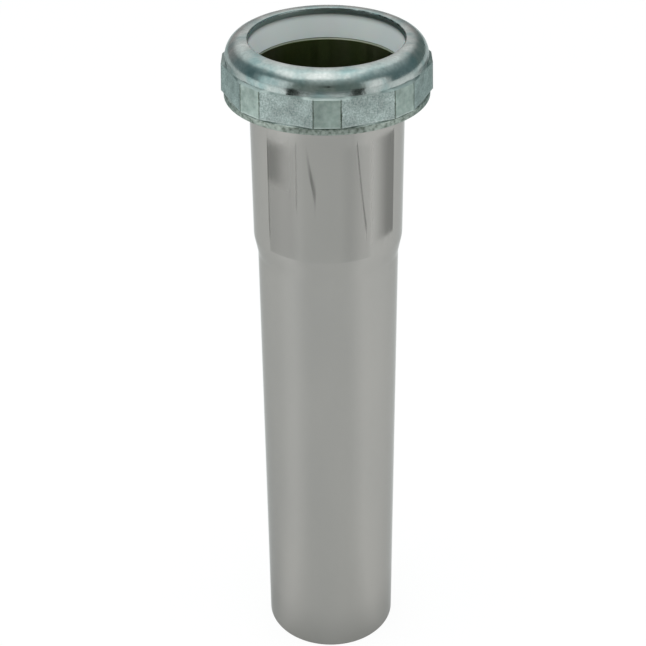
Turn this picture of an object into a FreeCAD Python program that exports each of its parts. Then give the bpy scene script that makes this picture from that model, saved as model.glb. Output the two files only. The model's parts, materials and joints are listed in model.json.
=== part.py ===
import FreeCAD, Part
import math
import os

# Slip-joint tail pipe of a basin waste, in millimetres. The tube stands on its cut lower
# end, with its axis on +Z and the origin at the centre of that end.

# Tube: drawn brass, its upper part swaged out into a socket for the next tube.
tube_od = 31.75
tube_wall = 0.64
tube_length = 152.4
end_break = 0.15
socket_clearance = 0.19
socket_depth = 39.7
swage_length = 4.3
swage_blend = 6.0

# Threaded mouth: a collar round the top of the socket, out to the thread's pitch radius.
collar_wall = 2.5
thread_clearance = 0.15
thread_chamfer = 0.6
collar_height = 5.2
collar_root_bevel = 0.5

# Slip washer: lies on the mouth, under the lip of the nut.
washer_height = 5.0
washer_bore_clearance = 0.33
washer_side_clearance = 0.6
washer_edge_break = 0.3
washer_shoulder = 1.4

# Slip nut: round foot, a band of wide and narrow flats, a round shoulder and a lip. Its
# walls are measured outwards from the threaded bore; the flats' corners lean in by the
# taper, which lets the casting out of its die.
nut_height = 12.5
foot_wall = 2.65
foot_height = 1.6
foot_bevel = 0.2
corner_wall = 3.2
flats_taper = 0.22
narrow_flats = 8
narrow_flat_angle = 14.4
corner_rounding = 0.25
shoulder_height = 4.6
shoulder_ledge = 0.05
shoulder_land = 0.7
hole_clearance = 0.55
hole_bevel = 0.35
lip_thickness = 1.3
inside_chamfer = 1.2

# Radii that follow from the sizes above.
tube_r = tube_od / 2
tube_bore_r = tube_r - tube_wall
socket_bore_r = tube_r + socket_clearance
socket_r = socket_bore_r + tube_wall
collar_r = socket_r + collar_wall
nut_bore_r = collar_r + thread_clearance
washer_bore_r = tube_r + washer_bore_clearance
washer_r = nut_bore_r - washer_side_clearance
hole_r = tube_r + hole_clearance
foot_r = nut_bore_r + foot_wall
corner_r = nut_bore_r + corner_wall
top_corner_r = corner_r - flats_taper

# Heights that follow from the sizes above.
mouth_z = tube_length
socket_floor_z = mouth_z - socket_depth
swage_foot_z = socket_floor_z - swage_length
collar_foot_z = mouth_z - collar_height
lip_z = mouth_z + washer_height
crown_z = lip_z + lip_thickness
nut_foot_z = crown_z - nut_height
flats_foot_z = nut_foot_z + foot_height
flats_top_z = crown_z - shoulder_height
flats_height = flats_top_z - flats_foot_z


def flat_face(corners):
    """A flat face from its corners in turn."""
    return Part.Face(Part.makePolygon(corners + corners[:1]))


def section(points):
    """A flat face in the XZ plane from (radius, height) corners."""
    return flat_face([FreeCAD.Vector(r, 0, z) for r, z in points])


def turned(face):
    """A face of the XZ plane turned once round the Z axis."""
    return face.revolve(FreeCAD.Vector(0, 0, 0), FreeCAD.Vector(0, 0, 1), 360)


def rings_at(solid, places):
    """The circular edges of a turned solid that lie at the given (radius, height) places."""
    found = []
    for edge in solid.Edges:
        if not isinstance(edge.Curve, Part.Circle):
            continue
        centre = edge.Curve.Center
        for r, z in places:
            if abs(edge.Curve.Radius - r) < 1e-4 and abs(centre.z - z) < 1e-4:
                found.append(edge)
    return found


def extension_tube():
    """One wall from the cut end to the mouth, with the swage's corners blended."""
    wall = section([
        (tube_bore_r + end_break, 0),
        (tube_r - end_break, 0),
        (tube_r, end_break),
        (tube_r, swage_foot_z),
        (socket_r, socket_floor_z),
        (socket_r, collar_foot_z - collar_root_bevel),
        (socket_r + collar_root_bevel, collar_foot_z),
        (collar_r - thread_chamfer, collar_foot_z),
        (collar_r, collar_foot_z + thread_chamfer),
        (collar_r, mouth_z - thread_chamfer),
        (collar_r - thread_chamfer, mouth_z),
        (socket_bore_r + end_break, mouth_z),
        (socket_bore_r, mouth_z - end_break),
        (socket_bore_r, socket_floor_z),
        (tube_bore_r, swage_foot_z),
        (tube_bore_r, end_break),
    ])
    tube = turned(wall)
    outer_bends = rings_at(tube, [(tube_r, swage_foot_z), (socket_r, socket_floor_z)])
    tube = tube.makeFillet(swage_blend, outer_bends)
    inner_bends = rings_at(tube, [(tube_bore_r, swage_foot_z), (socket_bore_r, socket_floor_z)])
    return tube.makeFillet(swage_blend, inner_bends)


def slip_washer():
    """A plain ring with a bevelled top that clears the inside of the nut's shoulder."""
    return turned(section([
        (washer_bore_r + washer_edge_break, mouth_z),
        (washer_r - washer_edge_break, mouth_z),
        (washer_r, mouth_z + washer_edge_break),
        (washer_r, lip_z - washer_shoulder),
        (washer_r - washer_shoulder, lip_z),
        (washer_bore_r + washer_edge_break, lip_z),
        (washer_bore_r, lip_z - washer_edge_break),
        (washer_bore_r, mouth_z + washer_edge_break),
    ]))


def flats_band():
    """The band that a wrench grips: wide and narrow flats in turn, a narrow one facing -Y."""
    step = 360 / narrow_flats
    angles = []
    for number in range(narrow_flats):
        middle = number * step - 90
        angles.append(middle - narrow_flat_angle / 2)
        angles.append(middle + narrow_flat_angle / 2)
    low = []
    high = []
    for angle in angles:
        turn = math.radians(angle)
        outward = FreeCAD.Vector(math.cos(turn), math.sin(turn), 0)
        low.append(outward * corner_r + FreeCAD.Vector(0, 0, flats_foot_z))
        high.append(outward * top_corner_r + FreeCAD.Vector(0, 0, flats_top_z))
    faces = [flat_face(low[::-1]), flat_face(high)]
    for number in range(len(angles)):
        faces.append(flat_face([low[number - 1], low[number], high[number], high[number - 1]]))
    band = Part.Solid(Part.Shell(faces))
    upright = [edge for edge in band.Edges if abs(edge.BoundBox.ZLength - flats_height) < 1e-4]
    return band.makeFillet(corner_rounding, upright)


def slip_nut():
    """Foot, flats and round shoulder as one casting, then the inside as one turned cut."""
    foot = Part.makeCylinder(foot_r, foot_height, FreeCAD.Vector(0, 0, nut_foot_z))
    foot = foot.makeChamfer(foot_bevel, rings_at(foot, [(foot_r, nut_foot_z)]))

    wide_half_angle = math.radians((360 / narrow_flats - narrow_flat_angle) / 2)
    shoulder_r = top_corner_r * math.cos(wide_half_angle) - shoulder_ledge
    shoulder = Part.makeCylinder(shoulder_r, shoulder_height, FreeCAD.Vector(0, 0, flats_top_z))
    shoulder_crown = rings_at(shoulder, [(shoulder_r, crown_z)])
    shoulder = shoulder.makeFillet(shoulder_height - shoulder_land, shoulder_crown)

    inside = turned(section([
        (0, nut_foot_z),
        (nut_bore_r + thread_chamfer, nut_foot_z),
        (nut_bore_r, nut_foot_z + thread_chamfer),
        (nut_bore_r, lip_z - inside_chamfer),
        (nut_bore_r - inside_chamfer, lip_z),
        (hole_r, lip_z),
        (hole_r, crown_z - hole_bevel),
        (hole_r + hole_bevel, crown_z),
        (0, crown_z),
    ]))
    return foot.fuse([flats_band(), shoulder]).cut(inside).removeSplitter()


os.makedirs("parts", exist_ok=True)
extension_tube().exportStep("parts/extension_tube.step")
slip_washer().exportStep("parts/slip_washer.step")
slip_nut().exportStep("parts/slip_nut.step")
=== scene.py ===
import json
import math

import bmesh
import bpy
from mathutils import Matrix, Quaternion, Vector


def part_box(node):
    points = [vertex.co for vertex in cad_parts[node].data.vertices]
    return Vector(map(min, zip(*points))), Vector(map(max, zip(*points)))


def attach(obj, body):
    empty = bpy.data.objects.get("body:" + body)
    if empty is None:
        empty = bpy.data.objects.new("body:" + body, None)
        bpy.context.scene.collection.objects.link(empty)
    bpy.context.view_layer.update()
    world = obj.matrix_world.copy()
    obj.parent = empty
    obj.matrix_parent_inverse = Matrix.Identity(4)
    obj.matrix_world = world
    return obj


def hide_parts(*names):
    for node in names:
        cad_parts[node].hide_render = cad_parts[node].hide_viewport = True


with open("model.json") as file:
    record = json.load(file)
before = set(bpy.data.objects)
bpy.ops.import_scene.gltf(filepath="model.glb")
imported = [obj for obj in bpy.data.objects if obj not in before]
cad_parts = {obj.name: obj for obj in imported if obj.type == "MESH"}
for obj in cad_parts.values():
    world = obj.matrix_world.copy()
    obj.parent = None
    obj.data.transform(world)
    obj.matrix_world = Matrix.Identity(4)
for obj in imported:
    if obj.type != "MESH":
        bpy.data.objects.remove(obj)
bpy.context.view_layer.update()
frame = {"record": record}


# Extension tube: drawn brass tube of 22 gauge, chromed outside and bare inside. Its upper end is
# swaged out into a socket for the next tube, with a threaded collar round the mouth for the nut.
# The lower end is cut off square and only deburred.
MM = 0.001
mounts = {mount["name"]: mount["dims"] for mount in frame["record"]["mounts"] if mount["dims"]}
tube_r = mounts["tail"]["r_mm"]
socket_bore_r = mounts["socket"]["r_mm"]
tube_wall = 0.64
tube_bore_r = tube_r - tube_wall
socket_r = socket_bore_r + tube_wall
collar_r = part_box("extension_tube")[1].x / MM
mouth_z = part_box("extension_tube")[1].z / MM
end_rounding_inside = 0.12
end_rounding_outside = 0.2
socket_depth = 39.7
swage_length = 4.3
swage_blend = 6.0
swage_top_z = mouth_z - socket_depth
swage_foot_z = swage_top_z - swage_length
collar_height = 5.2
collar_foot_z = mouth_z - collar_height
collar_root = 0.5
mouth_bevel = 0.8
mouth_edge = 0.1
mouth_bevel_edge = 0.15
thread_chamfer = 0.6
thread_pitch = 2.209
thread_depth = 0.45
thread_row = 0.17
arc_step = math.radians(9)
long_wall = 4
wall_margin = 0.3
tolerance = 0.01
tube_steps = 240
soft_angle = math.radians(32)


def softened(corners):
    """(radius, height, rounding) corners as plain points, with an arc at each rounded corner.

    Long walls get a point close to each end, so that the arcs there don't bend their shading.
    """
    points = []
    for number, (radius, height, rounding) in enumerate(corners):
        corner = Vector((radius, height))
        if not rounding:
            points.append(corner)
            continue
        back = (Vector(corners[number - 1][:2]) - corner).normalized()
        ahead = (Vector(corners[(number + 1) % len(corners)][:2]) - corner).normalized()
        half_angle = back.angle(ahead) / 2
        centre = corner + (back + ahead).normalized() * rounding / math.sin(half_angle)
        start = corner + back * rounding / math.tan(half_angle) - centre
        end = corner + ahead * rounding / math.tan(half_angle) - centre
        sweep = math.atan2(start.x * end.y - start.y * end.x, start.dot(end))
        parts = max(2, math.ceil(abs(sweep) / arc_step))
        for part in range(parts + 1):
            points.append(centre + Matrix.Rotation(sweep * part / parts, 2) @ start)
    spaced = []
    for number, point in enumerate(points):
        along = points[(number + 1) % len(points)] - point
        spaced.append(point)
        if along.length > long_wall:
            spaced.append(point + along.normalized() * wall_margin)
            spaced.append(point + along - along.normalized() * wall_margin)
    return spaced


def turned(name, points, steps):
    """A new piece: a closed section of (radius, height) points, in mm, spun once round Z."""
    bpy.ops.object.select_all(action="DESELECT")
    bpy.ops.mesh.primitive_plane_add(size=MM)
    piece = bpy.context.active_object
    piece.name = name
    bpy.ops.object.mode_set(mode="EDIT")
    bpy.ops.mesh.select_all(action="SELECT")
    bpy.ops.mesh.merge(type="CENTER")
    at = Vector((points[0][0], 0, points[0][1])) * MM
    bpy.ops.transform.translate(value=at)
    for radius, height in points[1:]:
        to = Vector((radius, 0, height)) * MM
        bpy.ops.mesh.extrude_region_move(TRANSFORM_OT_translate={"value": to - at})
        at = to
    section = bmesh.from_edit_mesh(piece.data)
    for vertex in section.verts:
        vertex.select = len(vertex.link_edges) == 1
    section.select_flush_mode()
    bpy.ops.mesh.edge_face_add()
    bpy.ops.mesh.select_all(action="SELECT")
    bpy.ops.mesh.spin(steps=steps, angle=2 * math.pi, center=(0, 0, 0), axis=(0, 0, 1))
    bpy.ops.mesh.select_all(action="SELECT")
    bpy.ops.mesh.remove_doubles(threshold=1e-7)
    bpy.ops.mesh.normals_make_consistent(inside=False)
    bpy.ops.object.mode_set(mode="OBJECT")
    return piece


def rows_between(radius, low, high):
    """Section corners on a straight wall, close enough together to carry a thread."""
    count = math.ceil(abs(high - low) / thread_row)
    return [(radius, low + (high - low) * row / count, 0) for row in range(count + 1)]


def cut_thread(piece, radius, low, high):
    """Moves the wall of that radius in and out along a right-hand helix that fades at its ends."""
    fade = thread_pitch / 4
    for vertex in piece.data.vertices:
        x, y, z = vertex.co / MM
        wall = math.hypot(x, y)
        if abs(wall - radius) > tolerance or not low <= z <= high:
            continue
        end = min(1, (z - low) / fade, (high - z) / fade)
        turn = z / thread_pitch - math.atan2(y, x) / (2 * math.pi)
        ridge = thread_depth * end * math.cos(2 * math.pi * turn)
        vertex.co.xy *= (radius + ridge) / wall


tube = turned("extension_tube_body", softened([
    (tube_bore_r, 0, end_rounding_inside),
    (tube_r, 0, end_rounding_outside),
    (tube_r, swage_foot_z, swage_blend),
    (socket_r, swage_top_z, swage_blend),
    (socket_r, collar_foot_z, collar_root),
    (collar_r - thread_chamfer, collar_foot_z, mouth_edge),
    *rows_between(collar_r, collar_foot_z + thread_chamfer, mouth_z - thread_chamfer),
    (collar_r - thread_chamfer, mouth_z, mouth_edge),
    (socket_bore_r + mouth_bevel, mouth_z, mouth_edge),
    (socket_bore_r, mouth_z - mouth_bevel, mouth_bevel_edge),
    (socket_bore_r, swage_top_z, swage_blend),
    (tube_bore_r, swage_foot_z, swage_blend),
]), tube_steps)
cut_thread(tube, collar_r, collar_foot_z + thread_chamfer, mouth_z - thread_chamfer)


def add_node(tree, kind, inputs, **settings):
    """A new shader node with its settings, and each input linked or set to a plain value."""
    node = tree.nodes.new("ShaderNode" + kind)
    for name, setting in settings.items():
        setattr(node, name, setting)
    for name, value in inputs.items():
        socket = node.inputs[name]
        if isinstance(value, bpy.types.NodeSocket):
            tree.links.new(value, socket)
        elif socket.type == "RGBA":
            socket.default_value = (*value, 1)
        else:
            socket.default_value = value
    return node


def mixed(tree, share, first, second, blend="MIX"):
    """One colour over another by a mask."""
    colours = {"Factor": share, 6: first, 7: second}
    return add_node(tree, "Mix", colours, data_type="RGBA", blend_type=blend).outputs[2]


def noise(tree, place, scale, detail, stretch=(1, 1, 1)):
    """A noise value over the piece. Scale counts bumps per metre; stretch changes it by axis."""
    place = add_node(tree, "VectorMath", {0: place, 1: stretch}, operation="MULTIPLY").outputs[0]
    texture = {"Vector": place, "Scale": scale, "Detail": detail}
    return add_node(tree, "TexNoise", texture).outputs["Fac"]


def new_group(name, inputs, output, kind):
    """A new node group: itself, the sockets its inputs come in by and the one for its result."""
    group = bpy.data.node_groups.new(name, "ShaderNodeTree")
    for label, input_kind in inputs.items():
        group.interface.new_socket(label, in_out="INPUT", socket_type="NodeSocket" + input_kind)
    group.interface.new_socket(output, in_out="OUTPUT", socket_type="NodeSocket" + kind)
    given = group.nodes.new("NodeGroupInput").outputs
    return group, given, group.nodes.new("NodeGroupOutput").inputs[output]


grain = {"Vector": "Vector", "Scale": "Float", "Detail": "Float", "Stretch": "Vector"}
tones = {"Low At": "Float", "Low": "Color", "High At": "Float", "High": "Color"}
varied_tone, given, result = new_group("varied_tone", grain | tones, "Color", "Color")
value = noise(varied_tone, given["Vector"], given["Scale"], given["Detail"], given["Stretch"])
span = {"Value": value, "From Min": given["Low At"], "From Max": given["High At"]}
share = add_node(varied_tone, "MapRange", span).outputs[0]
varied_tone.links.new(mixed(varied_tone, share, given["Low"], given["High"]), result)

bumps = grain | {"Distance": "Float"}
fine_relief, given, result = new_group("fine_relief", bumps, "Normal", "Vector")
height = noise(fine_relief, given["Vector"], given["Scale"], given["Detail"], given["Stretch"])
raised = add_node(fine_relief, "Bump", {"Height": height, "Distance": given["Distance"]})
fine_relief.links.new(raised.outputs["Normal"], result)


def varied(tree, place, scale, detail, low, high, stretch=(1, 1, 1)):
    """A tone that wanders over the piece. Low and high are (noise value, colour or grey) pairs."""
    (low_at, low), (high_at, high) = low, high
    values = {"Vector": place, "Scale": scale, "Detail": detail, "Stretch": stretch,
              "Low At": low_at, "Low": low if isinstance(low, tuple) else (low, low, low),
              "High At": high_at, "High": high if isinstance(high, tuple) else (high, high, high)}
    return add_node(tree, "Group", values, node_tree=varied_tone).outputs["Color"]


def relief(tree, place, scale, detail, distance, stretch=(1, 1, 1)):
    """The normal of a surface with fine bumps, whose distance is their height in metres."""
    values = {"Vector": place, "Scale": scale, "Detail": detail, "Stretch": stretch,
              "Distance": distance}
    return add_node(tree, "Group", values, node_tree=fine_relief).outputs["Normal"]


def new_material(name):
    """A new material: itself, its node tree, its Principled shader and its Object coordinates."""
    material = bpy.data.materials.new(name)
    material.use_nodes = True
    tree = material.node_tree
    place = tree.nodes.new("ShaderNodeTexCoord").outputs["Object"]
    return material, tree, tree.nodes["Principled BSDF"], place


chrome_grey = (0.352, 0.342, 0.330)
chrome_pale = (0.392, 0.377, 0.360)
along_tube = (1, 1, 0.3)
drawn_lines = (1, 1, 0.02)
chrome, tree, shader, place = new_material("chrome_plate")
shader.inputs["Metallic"].default_value = 1
shader.inputs["Specular Tint"].default_value = (0.7, 0.7, 0.7, 1)
plate = varied(tree, place, 45, 2.0, (0.3, chrome_grey), (0.7, chrome_pale), along_tube)
tree.links.new(plate, shader.inputs["Base Color"])
polish = varied(tree, place, 900, 4.0, (0.3, 0.02), (0.7, 0.07), drawn_lines)
tree.links.new(polish, shader.inputs["Roughness"])
ripple = relief(tree, place, 120, 1.0, 0.00002, stretch=(1, 1, 0.25))
tree.links.new(ripple, shader.inputs["Normal"])

brass_dull = (0.40, 0.42, 0.33)
brass_bright = (0.48, 0.50, 0.41)
brass_streaks = (1, 1, 0.4)
brass, tree, shader, place = new_material("bare_brass")
shader.inputs["Metallic"].default_value = 1
shader.inputs["Roughness"].default_value = 0.6
tarnish = varied(tree, place, 160, 4.0, (0.35, brass_dull), (0.7, brass_bright), brass_streaks)
tree.links.new(tarnish, shader.inputs["Base Color"])

tarnish_dark = (0.165, 0.175, 0.09)
tarnish_pale = (0.235, 0.245, 0.145)
verdigris_green = (0.16, 0.23, 0.055)
tarnished, tree, shader, place = new_material("tarnished_brass")
shader.inputs["Metallic"].default_value = 1
tarnish = varied(tree, place, 160, 4.0, (0.35, tarnish_dark), (0.7, tarnish_pale), brass_streaks)
verdigris = varied(tree, place, 110, 2.0, (0.46, 0.0), (0.62, 0.45), along_tube)
tarnish = mixed(tree, verdigris, tarnish, verdigris_green)
tree.links.new(tarnish, shader.inputs["Base Color"])
drawn = varied(tree, place, 1200, 3.0, (0.3, 0.40), (0.7, 0.55), drawn_lines)
tree.links.new(drawn, shader.inputs["Roughness"])
die_marks = relief(tree, place, 1200, 3.0, 0.00001, drawn_lines)
tree.links.new(die_marks, shader.inputs["Normal"])

tube.data.materials.append(chrome)
tube.data.materials.append(brass)
tube.data.materials.append(tarnished)
cut_end_height = 0.5
for face in tube.data.polygons:
    faces_in = face.normal.xy.dot(face.center.xy) < 0
    lies_flat = abs(face.normal.z) > 0.7
    at_end = not cut_end_height < face.center.z / MM < mouth_z - mouth_bevel
    if at_end and (faces_in or lies_flat):
        face.material_index = 1
    elif faces_in:
        face.material_index = 2
bpy.ops.object.shade_smooth_by_angle(angle=soft_angle)
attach(tube, "tube")
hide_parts("extension_tube")


# Slip washer: a moulded ring of white plastic, which the nut presses down on the tube's mouth. Its
# bevelled top clears the inside of the nut's shoulder, and its bore is a hair wider than the tube.
washer_low, washer_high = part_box("slip_washer")
washer_r = washer_high.x / MM
washer_bore_clearance = 0.33
washer_bore_r = tube_r + washer_bore_clearance
washer_shoulder = 1.4
washer_skirt = 0.5
washer_skirt_tip = 0.05
washer_draft = 0.5
washer_foot_edge = 0.25
washer_edge = 0.3
washer_z = washer_low.z / MM
lip_z = washer_high.z / MM
washer = turned("slip_washer_ring", softened([
    (washer_bore_r, washer_z - washer_skirt, washer_skirt_tip),
    (washer_bore_r + washer_skirt, washer_z, 0),
    (washer_r, washer_z, washer_foot_edge),
    (washer_r, lip_z - washer_shoulder, washer_edge),
    (washer_r - washer_shoulder, lip_z, washer_edge),
    (washer_bore_r + washer_draft, lip_z, washer_edge),
]), tube_steps)


def computed(tree, operation, *values):
    """The result of one Math node."""
    return add_node(tree, "Math", dict(enumerate(values)), operation=operation).outputs[0]


def step_mask(tree, value, off, on):
    """A soft 0 to 1 mask over a value, 0 at off and 1 at on."""
    span = {"Value": value, "From Min": off, "From Max": on}
    return add_node(tree, "MapRange", span, interpolation_type="SMOOTHSTEP").outputs[0]


def level_mask(tree, length, off, on):
    """A soft mask over a length on a piece, such as its height, with the ends in mm."""
    return step_mask(tree, length, off * MM, on * MM)


def height_of(tree, place):
    """The height part of a place on a piece."""
    return add_node(tree, "SeparateXYZ", {0: place}).outputs["Z"]


plastic_grey = (0.79, 0.82, 0.82)
plastic_white = (0.84, 0.86, 0.85)
lip_shade_grey = (0.08, 0.085, 0.08)
lip_shade_share = 0.85
lip_shade_foot_z = lip_z - 1.3
lip_shade_full_z = lip_z + 0.5
plastic, tree, shader, place = new_material("white_plastic")
shader.inputs["Roughness"].default_value = 0.45
shader.inputs["Subsurface Weight"].default_value = 0.15
shader.inputs["Subsurface Scale"].default_value = 0.001
tint = varied(tree, place, 90, 2.0, (0.3, plastic_grey), (0.7, plastic_white))
# Painted shade: the washer darkens towards its top, where it lies under the nut's lip.
lip_shade = level_mask(tree, height_of(tree, place), lip_shade_foot_z, lip_shade_full_z)
tint = mixed(tree, computed(tree, "MULTIPLY", lip_shade, lip_shade_share), tint, lip_shade_grey)
tree.links.new(tint, shader.inputs["Base Color"])
tree.links.new(relief(tree, place, 2500, 2.0, 0.000005), shader.inputs["Normal"])

washer.data.materials.append(plastic)
bpy.ops.object.shade_smooth_by_angle(angle=soft_angle)
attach(washer, "washer")
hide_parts("slip_washer")


# Slip nut: a zinc die casting with wide and narrow flats in turn for the wrench. The round shoulder
# and the lip over the washer are polished, the flats and the foot are left as cast, and a
# right-hand thread inside draws the nut down on the tube's collar.
nut_low, nut_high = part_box("slip_nut")
nut_foot_z = nut_low.z / MM
crown_z = nut_high.z / MM
thread_clearance = 0.15
nut_bore_r = collar_r + thread_clearance
foot_wall = 2.65
foot_r = nut_bore_r + foot_wall
foot_height = 1.6
foot_edge = 0.2
bore_edge = 0.15
flats_foot_z = nut_foot_z + foot_height
shoulder_height = 4.6
flats_top_z = crown_z - shoulder_height
corner_wall = 3.2
corner_r = nut_bore_r + corner_wall
flats_taper = 0.22
flat_pairs = 8
narrow_flat_angle = 14.4
narrow_half_angle = math.radians(narrow_flat_angle / 2)
wide_half_angle = math.pi / flat_pairs - narrow_half_angle
wide_r = corner_r * math.cos(wide_half_angle)
narrow_r = corner_r * math.cos(narrow_half_angle)
shoulder_ledge = 0.05
shoulder_r = (corner_r - flats_taper) * math.cos(wide_half_angle) - shoulder_ledge
shoulder_rounding = 3.9
ledge_fall = 0.2
ledge_rise = 0.15
least_ledge = 0.02
hole_clearance = 0.55
hole_r = tube_r + hole_clearance
hole_bevel = 0.12
hole_rounding = 0.35
lip_edge = 0.1
inside_chamfer = 1.2
inside_edge = 0.2
groove_depth = 0.08
groove_r = wide_r - groove_depth
groove_foot_z = flats_foot_z - 0.3
groove_top_z = flats_foot_z - 0.1
groove_edge = 0.12
edge_break = 0.15
corner_bevel = 0.12
least_corner_height = 1
thread_relief = 2.6
thread_top_z = lip_z - thread_relief
nut_steps = 400
casting_angle = math.radians(16)


def flat_radius(angle):
    """How far out the flats lie in a direction, with the middle of a narrow flat on -Y."""
    pair = 2 * math.pi / flat_pairs
    turn = (angle + math.pi / 2 + pair / 2) % pair - pair / 2
    if abs(turn) <= narrow_half_angle + 1e-6:
        return narrow_r / math.cos(turn)
    return wide_r / math.cos(pair / 2 - abs(turn))


nut = turned("slip_nut_casting", softened([
    (nut_bore_r + thread_chamfer, nut_foot_z, bore_edge),
    (foot_r, nut_foot_z, foot_edge),
    (foot_r, groove_foot_z, groove_edge),
    (groove_r, groove_top_z, 0),
    (corner_r - edge_break, flats_foot_z, 0),
    (corner_r, flats_foot_z + edge_break, 0),
    (corner_r, flats_top_z - ledge_fall, 0),
    (shoulder_r, flats_top_z + ledge_rise, 0),
    (shoulder_r, crown_z, shoulder_rounding),
    (hole_r + hole_bevel, crown_z, hole_rounding),
    (hole_r, lip_z, lip_edge),
    (nut_bore_r - inside_chamfer, lip_z, inside_edge),
    (nut_bore_r, lip_z - inside_chamfer, inside_edge),
    *rows_between(nut_bore_r, thread_top_z, nut_foot_z + thread_chamfer),
]), nut_steps)
for vertex in nut.data.vertices:
    x, y, z = vertex.co / MM
    out = math.hypot(x, y)
    in_band = flats_foot_z - tolerance < z < flats_top_z + tolerance
    if out < corner_r - edge_break - tolerance or not in_band:
        continue
    lean = flats_taper * (z - flats_foot_z) / (flats_top_z - flats_foot_z)
    reach = flat_radius(math.atan2(y, x)) - lean - (corner_r - out)
    vertex.co.xy *= max(reach, shoulder_r + least_ledge) / out
cut_thread(nut, nut_bore_r, nut_foot_z + thread_chamfer, thread_top_z)

bpy.ops.object.mode_set(mode="EDIT")
bpy.ops.mesh.select_all(action="DESELECT")
casting = bmesh.from_edit_mesh(nut.data)
least_corner_r = corner_r - flats_taper - tolerance
for edge in casting.edges:
    ends = [vertex.co / MM for vertex in edge.verts]
    upright = abs(ends[0].z - ends[1].z) > least_corner_height
    edge.select = upright and all(end.xy.length > least_corner_r for end in ends)
bpy.ops.mesh.bevel(offset=corner_bevel * MM, segments=2)
bpy.ops.object.mode_set(mode="OBJECT")


def ramp(tree, value, stops):
    """A colour ramp through (position, colour or grey) stops, from the lowest to the highest."""
    node = add_node(tree, "ValToRGB", {"Fac": value})
    elements = node.color_ramp.elements
    elements.remove(elements[1])
    for number, (position, tone) in enumerate(stops):
        element = elements.new(position) if number else elements[0]
        element.position = position
        element.color = (*tone, 1) if isinstance(tone, tuple) else (tone, tone, tone, 1)
    return node.outputs["Color"]


def vector(tree, operation, *values):
    """The result of one Vector Math node, a number where the operation gives one."""
    outputs = add_node(tree, "VectorMath", dict(enumerate(values)), operation=operation).outputs
    return outputs["Value" if operation in ("DOT_PRODUCT", "LENGTH") else "Vector"]


zinc_dark = (0.23, 0.32, 0.32)
zinc_grey = (0.355, 0.40, 0.39)
zinc_pale = (0.44, 0.475, 0.465)
rim_black = (0.025, 0.03, 0.027)
rim_dark_reach_r = hole_r + 0.42
rim_dark_full_r = hole_r + 0.12
polished_zinc, tree, shader, place = new_material("polished_zinc")
shader.inputs["Metallic"].default_value = 1
shader.inputs["Specular Tint"].default_value = (0.7, 0.75, 0.75, 1)
cloud = noise(tree, place, 190, 4.0)
cloud = ramp(tree, cloud, [(0.32, zinc_dark), (0.5, zinc_grey), (0.68, zinc_pale)])
speckle = varied(tree, place, 1300, 4.0, (0.35, 0.93), (0.65, 1.06))
cloud = vector(tree, "MULTIPLY", cloud, speckle)
axes = add_node(tree, "SeparateXYZ", {0: place}).outputs
from_axis = vector(tree, "LENGTH", vector(tree, "MULTIPLY", place, (1, 1, 0)))
# Patchy black along the rounded edge of the hole, on the +X side and fading out towards -X.
hole_edge = level_mask(tree, from_axis, rim_dark_reach_r, rim_dark_full_r)
one_side = level_mask(tree, axes["X"], -14, 8)
rim_dark = varied(tree, place, 700, 4.0, (0.36, 0.25), (0.58, 1.0))
rim_dark = computed(tree, "MULTIPLY", rim_dark, computed(tree, "MULTIPLY", hole_edge, one_side))
cloud = mixed(tree, rim_dark, cloud, rim_black)
tree.links.new(cloud, shader.inputs["Base Color"])
smear = varied(tree, place, 420, 5.0, (0.3, 0.13), (0.7, 0.27))
tree.links.new(smear, shader.inputs["Roughness"])
tree.links.new(relief(tree, place, 330, 3.0, 0.00006), shader.inputs["Normal"])

sand_dark = (0.28, 0.35, 0.335)
sand_pale = (0.52, 0.59, 0.58)
smooth_dark = (0.295, 0.365, 0.335)
smooth_pale = (0.38, 0.45, 0.42)
highlight_pale = (0.60, 0.66, 0.64)
ledge_grey = (0.34, 0.40, 0.385)
hole_wall_shade = (0.15, 0.18, 0.17)
mottle_dark = (0.15, 0.18, 0.155)
mottle_grey = (0.29, 0.33, 0.30)
mottle_pale = (0.40, 0.45, 0.41)
corner_dark = (0.06, 0.075, 0.055)
corner_line_angle = math.radians(0.85)
flat_edge_blur = 0.002
cast_zinc, tree, shader, place = new_material("cast_zinc")
shader.inputs["Metallic"].default_value = 1
shader.inputs["Specular Tint"].default_value = (0.45, 0.52, 0.52, 1)
axes = add_node(tree, "SeparateXYZ", {0: place}).outputs
turn = computed(tree, "ARCTAN2", axes["Y"], axes["X"])
turn = computed(tree, "ADD", turn, math.pi / 2)
turn = computed(tree, "PINGPONG", turn, math.pi / flat_pairs)
narrow = step_mask(
    tree, turn, narrow_half_angle + flat_edge_blur, narrow_half_angle - flat_edge_blur)
above = level_mask(tree, axes["Z"], flats_foot_z - 0.25, flats_foot_z - 0.05)
below = level_mask(tree, axes["Z"], flats_top_z, flats_top_z - 0.3)
sand = varied(tree, place, 2900, 6.0, (0.33, sand_dark), (0.67, sand_pale))
smooth = varied(tree, place, 900, 3.0, (0.35, smooth_dark), (0.65, smooth_pale))
colour = mixed(tree, narrow, sand, smooth)
patchy = varied(tree, place, 330, 3.0, (0.32, 0.80), (0.68, 1.18))
colour = mixed(tree, above, colour, patchy, "MULTIPLY")
# Painted highlight: a pale, patchy band along the bottom edge of the flats.
foot_highlight = level_mask(tree, axes["Z"], flats_foot_z + 0.6, flats_foot_z + 0.15)
foot_highlight = computed(tree, "MULTIPLY", foot_highlight, noise(tree, place, 1100, 3.0))
colour = mixed(tree, foot_highlight, colour, highlight_pale)
ledge_z = flats_top_z - ledge_fall
ledge = level_mask(tree, axes["Z"], ledge_z - 0.01, ledge_z + 0.03)
colour = mixed(tree, ledge, colour, ledge_grey)
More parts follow.
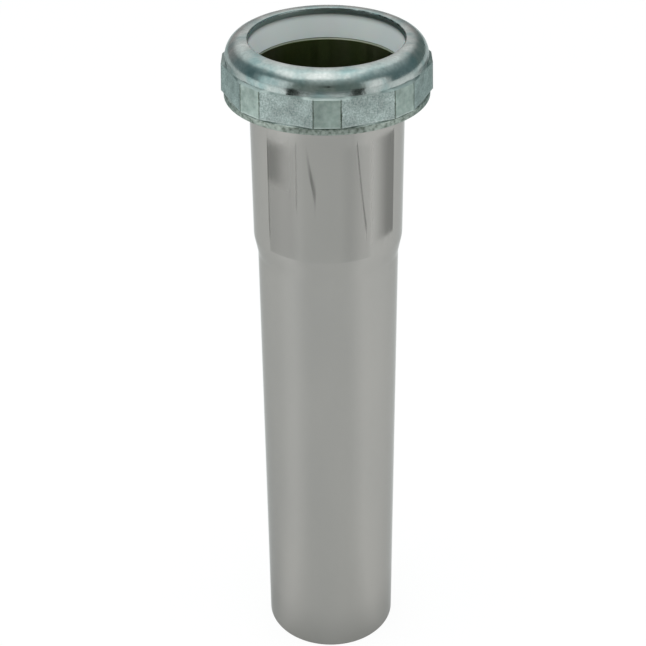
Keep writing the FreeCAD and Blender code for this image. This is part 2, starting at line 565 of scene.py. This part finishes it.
# Painted shade: the upper part of the hole's wall is darkened, on the +X side.
lip_wall = level_mask(tree, axes["Z"], lip_z, lip_z + 0.3)
lip_wall = computed(tree, "MULTIPLY", lip_wall, level_mask(tree, axes["X"], -12, 10))
colour = mixed(tree, lip_wall, colour, hole_wall_shade)
mottle = noise(tree, place, 1300, 5.0)
mottle = ramp(tree, mottle, [(0.34, mottle_dark), (0.5, mottle_grey), (0.66, mottle_pale)])
colour = mixed(tree, above, mottle, colour)
line_width = computed(tree, "MULTIPLY", noise(tree, place, 1500, 2.0), corner_line_angle)
from_corner = computed(tree, "ABSOLUTE", computed(tree, "SUBTRACT", turn, narrow_half_angle))
corner_line = computed(tree, "LESS_THAN", from_corner, line_width)
on_flats = computed(tree, "MULTIPLY", above, below)
corner_share = varied(tree, place, 260, 3.0, (0.36, 0.25), (0.62, 0.9))
corner_share = computed(tree, "MULTIPLY", corner_line, corner_share)
corner_share = computed(tree, "MULTIPLY", corner_share, on_flats)
colour = mixed(tree, corner_share, colour, corner_dark)
tree.links.new(colour, shader.inputs["Base Color"])
skin = varied(tree, place, 2900, 6.0, (0.3, 0.44), (0.7, 0.30))
tree.links.new(skin, shader.inputs["Roughness"])
tree.links.new(relief(tree, place, 1900, 4.0, 0.00003), shader.inputs["Normal"])

nut.data.materials.append(cast_zinc)
nut.data.materials.append(polished_zinc)
inside_wall = 0.5
for face in nut.data.polygons:
    out, height = face.center.xy.length / MM, face.center.z / MM
    in_hole = out < hole_r + lip_edge
    in_bore = height < lip_z and out < nut_bore_r + inside_wall
    on_shoulder = height > flats_top_z + tolerance
    face.material_index = 1 if on_shoulder and not in_hole and not in_bore else 0
bpy.ops.object.shade_smooth_by_angle(angle=casting_angle)
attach(nut, "nut")
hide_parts("slip_nut")


# Floor: one wide sheet of card, which reads as the white of the page and keeps a faint shadow. In
# the chrome it shows a painted glow: greyer in front of the tube (a painted shadow of the camera),
# greyer close to it (a painted contact shadow) and behind it on the left, and brightest far out on
# the left (a painted pool of light).
floor_size = 6
floor_glow = 1.55
front_shadow_dip = 0.58
further_dip = 0.3
beyond_rise = 0.35
left_side = (-0.883, -0.469, 0)
left_light_rise = 1.7
left_back = (-0.8, 0.6, 0)
left_back_dip = 0.3
contact_shadow_dip = 0.35
glow_share = 0.25
page_share = 0.9
page_white = 1.03
bpy.ops.object.select_all(action="DESELECT")
bpy.ops.mesh.primitive_plane_add(size=floor_size)
floor = bpy.context.active_object
floor.name = "floor"
card, tree, shader, place = new_material("white_card")
tree.nodes.remove(shader)
outward = vector(tree, "NORMALIZE", place)
away = vector(tree, "LENGTH", place)
# Painted glow that only mirrors see: a painted shadow of the camera in front of the tube, and a
# painted pool of light far out on the left.
in_front = step_mask(tree, vector(tree, "DOT_PRODUCT", outward, (0, -1, 0)), 0.5, 0.92)
further = step_mask(tree, away, 0.19, 0.225)
graded = computed(tree, "MULTIPLY_ADD", further, -further_dip, -front_shadow_dip)
beyond = step_mask(tree, away, 0.315, 0.34)
graded = computed(tree, "MULTIPLY_ADD", beyond, beyond_rise, graded)
graded = computed(tree, "MULTIPLY_ADD", in_front, graded, floor_glow)
beside = step_mask(tree, vector(tree, "DOT_PRODUCT", outward, left_side), 0.70, 0.92)
beside = computed(tree, "MULTIPLY", beside, step_mask(tree, away, 0.31, 0.36))
graded = computed(tree, "MULTIPLY_ADD", beside, left_light_rise, graded)
left_behind = step_mask(tree, vector(tree, "DOT_PRODUCT", outward, left_back), 0.5, 0.85)
graded = computed(tree, "MULTIPLY_ADD", left_behind, -left_back_dip, graded)
# Painted contact shadow close to the tube.
close_by = step_mask(tree, away, 0.030, 0.017)
graded = computed(tree, "MULTIPLY_ADD", close_by, -contact_shadow_dip, graded)
matte = add_node(tree, "BsdfDiffuse", {"Color": (0.745, 0.745, 0.735)}).outputs[0]
glow = add_node(tree, "Emission", {"Strength": graded}).outputs[0]
page = add_node(tree, "Emission", {"Strength": page_white}).outputs[0]
rays = tree.nodes.new("ShaderNodeLightPath").outputs
mirrored = computed(tree, "MAXIMUM", rays["Is Glossy Ray"], rays["Is Transmission Ray"])
mirrored = computed(tree, "MULTIPLY", mirrored, glow_share)
seen = computed(tree, "MULTIPLY", rays["Is Camera Ray"], page_share)
surface = add_node(tree, "MixShader", {0: mirrored, 1: matte, 2: glow}).outputs[0]
surface = add_node(tree, "MixShader", {0: seen, 1: surface, 2: page}).outputs[0]
tree.links.new(surface, tree.nodes["Material Output"].inputs["Surface"])
floor.data.materials.append(card)


# Studio light: a wide soft box overhead and one on each side of the camera, which the plated
# surfaces mirror, and three fills that only the matt surfaces take. The room itself is grey, duller
# behind on the right, with a pale ceiling that is brightest behind the set.
soft_edges, given, result = new_group(
    "soft_edges", {"UV": "Vector", "Rise": "Float", "Fall": "Float", "Ends": "Float"},
    "Share", "Float")
across = add_node(soft_edges, "SeparateXYZ", {0: given["UV"]}).outputs
share = step_mask(soft_edges, across["X"], 0.0, given["Rise"])
fall_from = computed(soft_edges, "SUBTRACT", 1.0, given["Fall"])
fall = step_mask(soft_edges, across["X"], 1.0, fall_from)
share = computed(soft_edges, "MULTIPLY", share, fall)
from_end = computed(soft_edges, "PINGPONG", across["Y"], 0.5)
end = step_mask(soft_edges, from_end, 0.0, given["Ends"])
soft_edges.links.new(computed(soft_edges, "MULTIPLY", share, end), result)


def fading(tree, rise, fall, ends):
    """How much of a sheet is there. It fades over a share of U at its start and at its end, and
    over a share of V at both ends."""
    uv = tree.nodes.new("ShaderNodeTexCoord").outputs["UV"]
    values = {"UV": uv, "Rise": rise, "Fall": fall, "Ends": ends}
    return add_node(tree, "Group", values, node_tree=soft_edges).outputs["Share"]


def around(azimuth, elevation, distance):
    """A place round the nut and the turn that faces it. Azimuth 0 is the camera's side."""
    turn, rise = math.radians(azimuth), math.radians(elevation)
    level = math.cos(rise)
    out = Vector((math.sin(turn) * level, -math.cos(turn) * level, math.sin(rise)))
    return Vector((0, 0, crown_z * MM)) + out * distance, out.to_track_quat("Z", "Y")


def sheet_at(name, width, height, place, turn):
    """A flat sheet that the camera doesn't see, at a place with a rotation."""
    bpy.ops.object.select_all(action="DESELECT")
    bpy.ops.mesh.primitive_plane_add(size=1)
    sheet = bpy.context.active_object
    sheet.name = name
    sheet.scale = (width, height, 1)
    bpy.ops.object.transform_apply(location=False, rotation=False, scale=True)
    sheet.rotation_mode = "QUATERNION"
    sheet.location, sheet.rotation_quaternion = place, turn
    sheet.visible_camera = False
    return sheet


diffuser_edge = 0.28


def soft_box(name, azimuth, elevation, distance, width, height, radiance, colour):
    """A lit sheet that faces the nut and fades out towards its edges, as a diffuser does."""
    sheet = sheet_at(name, width, height, *around(azimuth, elevation, distance))
    material, tree, shader, _ = new_material(name)
    tree.nodes.remove(shader)
    clear = tree.nodes.new("ShaderNodeBsdfTransparent").outputs[0]
    glow = add_node(tree, "Emission", {"Color": colour, "Strength": radiance}).outputs[0]
    share = fading(tree, diffuser_edge, diffuser_edge, diffuser_edge)
    surface = add_node(tree, "MixShader", {0: share, 1: clear, 2: glow}).outputs[0]
    tree.links.new(surface, tree.nodes["Material Output"].inputs["Surface"])
    sheet.data.materials.append(material)


warm_white = (1.0, 1.0, 0.99)
cool_white = (0.92, 1.0, 1.0)
soft_box("overhead_box", azimuth=-90, elevation=83, distance=0.80, width=0.90, height=1.05,
         radiance=1.8, colour=warm_white)
soft_box("left_box", azimuth=-61, elevation=15, distance=0.90, width=0.80, height=0.88,
         radiance=1.25, colour=cool_white)
soft_box("right_box", azimuth=56, elevation=13, distance=0.90, width=0.60, height=0.88,
         radiance=1.3, colour=warm_white)
fill_distance = 0.90
fill_white = (0.97, 1.0, 1.0)


def fill_light(name, azimuth, elevation, width, height, radiance):
    """An area light that faces the nut and lights matt surfaces only."""
    light = bpy.data.lights.new(name, "AREA")
    light.shape = "RECTANGLE"
    light.size = width
    light.size_y = height
    light.color = fill_white
    light.energy = radiance * math.pi * width * height
    lamp = bpy.data.objects.new(name, light)
    bpy.context.scene.collection.objects.link(lamp)
    lamp.rotation_mode = "QUATERNION"
    lamp.location, lamp.rotation_quaternion = around(azimuth, elevation, fill_distance)
    lamp.visible_camera = False
    lamp.visible_glossy = False


fill_light("front_fill", azimuth=0, elevation=50, width=1.00, height=0.60, radiance=0.95)
fill_light("left_fill", azimuth=-85, elevation=45, width=0.70, height=0.60, radiance=1.28)
fill_light("right_fill", azimuth=85, elevation=45, width=0.70, height=0.60, radiance=1.28)

world = bpy.data.worlds.new("studio")
bpy.context.scene.world = world
world.use_nodes = True
tree = world.node_tree
outward = tree.nodes.new("ShaderNodeTexCoord").outputs["Generated"]
axes = add_node(tree, "SeparateXYZ", {0: outward}).outputs
depth = add_node(tree, "MapRange", {"Value": axes["Y"], "From Min": -1}).outputs[0]
room = ramp(tree, depth, [
    (0.0, (0.27, 0.31, 0.28)), (0.45, (0.13, 0.21, 0.22)), (0.72, (0.24, 0.32, 0.33)),
    (0.85, (0.35, 0.36, 0.36)), (1.0, (0.72, 0.61, 0.60))])
right_back = (0.64, 0.77, 0)
right_behind = step_mask(tree, vector(tree, "DOT_PRODUCT", outward, right_back), 0.82, 0.97)
room = mixed(tree, right_behind, room, (0.23, 0.28, 0.27))
ceiling = ramp(tree, axes["Z"], [(0.5, 0.0), (0.7, 0.18), (0.866, 0.45), (1.0, 0.9)])
high_back = (-0.12, 0.62, 0.77)
behind = step_mask(tree, vector(tree, "DOT_PRODUCT", outward, high_back), 0.74, 0.93)
ceiling = computed(tree, "MULTIPLY_ADD", behind, 0.7, ceiling)
ceiling = vector(tree, "MULTIPLY", ceiling, (0.94, 1.0, 0.99))
tree.links.new(vector(tree, "ADD", room, ceiling), tree.nodes["Background"].inputs["Color"])
page = add_node(tree, "Background", {"Color": (1, 1, 1)}).outputs[0]
seen = tree.nodes.new("ShaderNodeLightPath").outputs["Is Camera Ray"]
studio = {0: seen, 1: tree.nodes["Background"].outputs[0], 2: page}
studio = add_node(tree, "MixShader", studio).outputs[0]
tree.links.new(studio, tree.nodes["World Output"].inputs["Surface"])


# Dark cards: flags round the set, and dark films on the floor beside it that paint shadows on it.
# The camera never sees them, only the plated surfaces that mirror them do. Layers are heights over
# the floor, in metres.
low_layer = 0.0003
middle_layer = 0.0006
high_layer = 0.0009
top_layer = 0.0012


def film(name, cover, rise, fall=0.02, ends=0.04):
    """Dark film that covers a share of what lies behind it and thins towards its edges."""
    material, tree, shader, _ = new_material(name)
    tree.nodes.remove(shader)
    cover = computed(tree, "MULTIPLY", fading(tree, rise, fall, ends), cover)
    clear = tree.nodes.new("ShaderNodeBsdfTransparent").outputs[0]
    black = add_node(tree, "BsdfDiffuse", {"Color": (0.02, 0.025, 0.02)}).outputs[0]
    surface = add_node(tree, "MixShader", {0: cover, 1: clear, 2: black}).outputs[0]
    tree.links.new(surface, tree.nodes["Material Output"].inputs["Surface"])
    return material


def hung(card, material):
    """Makes a sheet a dark card, which only mirrors see."""
    card.visible_camera = False
    card.visible_diffuse = False
    card.visible_shadow = False
    card.data.materials.append(material)


def floor_shadow(name, dark, clear, near, far, material, layer=middle_layer):
    """A sector of painted shadow on a ring just over the floor, from a dark azimuth to a clear one,
    in degrees, and from a near radius to a far one, in metres."""
    bpy.ops.object.select_all(action="DESELECT")
    bpy.ops.mesh.primitive_grid_add(x_subdivisions=24, y_subdivisions=1, size=1)
    card = bpy.context.active_object
    card.name = name
    for vertex in card.data.vertices:
        turn = math.radians(clear + (dark - clear) * (vertex.co.x + 0.5))
        out = near + (far - near) * (vertex.co.y + 0.5)
        vertex.co = (out * math.sin(turn), -out * math.cos(turn), layer)
    hung(card, material)


soft_film = film("soft_film", 1.0, 0.2, 0.2, 0.08)
half_film = film("half_film", 0.5, 0.75)
hung(sheet_at("left_flag", 0.18, 0.22, *around(-36.5, -11, 0.50)), soft_film)
hung(sheet_at("right_flag", 0.15, 0.22, *around(33.0, -11, 0.50)), soft_film)
hung(sheet_at("camera_hood", 0.090, 0.075, *around(0, 24, 0.38)), soft_film)
floor_shadow("left_floor_flag", -26, -46, 0.322, 0.520, soft_film)
floor_shadow("left_floor_film", -33, -8, 0.400, 0.620, half_film, high_layer)
floor_shadow("right_floor_flag", 23, 43, 0.322, 0.520, soft_film)
front_film = film("front_film", 0.5, 0.2, 0.2, 0.06)
floor_shadow("front_card", 38, -38, 0.450, 2.800, front_film, low_layer)
floor_shadow("right_card", 115, 66, 0.219, 0.312, half_film)
left_film = film("left_film", 0.38, 0.75, 0.02, 0.2)
floor_shadow("left_card", -99, -56, 0.264, 0.308, left_film)
floor_shadow("left_strip", -99, -96, 0.218, 0.307, half_film, high_layer)
low_film = film("low_film", 0.19, 0.35)
floor_shadow("left_low_card", -98, -38, 0.208, 0.309, low_film, low_layer)
right_film = film("right_film", 0.1, 0.35, 0.2)
floor_shadow("right_low_card", 70, 15, 0.208, 0.309, right_film, low_layer)
line_film = film("line_film", 0.25, 0.5, 0.5)
floor_shadow("left_line", -48, -45, 0.250, 0.311, line_film)
right_back_film = film("right_back_film", 0.7, 0.5, 0.4, 0.35)
floor_shadow("right_back_card", 165, 105, 0.300, 0.640, right_back_film)
left_back_film = film("left_back_film", 0.45, 0.5, 0.4, 0.35)
floor_shadow("left_back_card", -165, -105, 0.320, 0.640, left_back_film)
strip_turn = Quaternion((0, 0, 1), 0.13)
hung(sheet_at("right_strip", 0.010, 0.110, (0.203, -0.172, top_layer), strip_turn), half_film)
strip_turn = Quaternion((0, 0, 1), 0.15)
hung(sheet_at("front_strip", 0.090, 0.012, (-0.122, -0.255, top_layer), strip_turn), half_film)


# Camera: above and in front of the tube, looking down at about 32 degrees, with the long tube
# upright in a square frame.
camera = bpy.data.cameras.new("camera")
camera.sensor_width = 36
frame_pixels = 646
focal_pixels = 1498
camera.lens = camera.sensor_width * focal_pixels / frame_pixels
eye = bpy.data.objects.new("camera", camera)
bpy.context.scene.collection.objects.link(eye)
eye_back = 0.2961
eye_height = 0.2756
pitch = math.radians(32.39)
yaw = math.radians(-0.263)
roll = math.radians(-0.590)
eye.location = (0, -eye_back, eye_height)
level = math.cos(pitch)
ahead = Vector((math.sin(yaw) * level, math.cos(yaw) * level, -math.sin(pitch)))
eye.rotation_mode = "QUATERNION"
eye.rotation_quaternion = ahead.to_track_quat("-Z", "Y") @ Quaternion((0, 0, 1), roll)
bpy.context.scene.camera = eye

bpy.context.scene.view_settings.view_transform = "Standard"
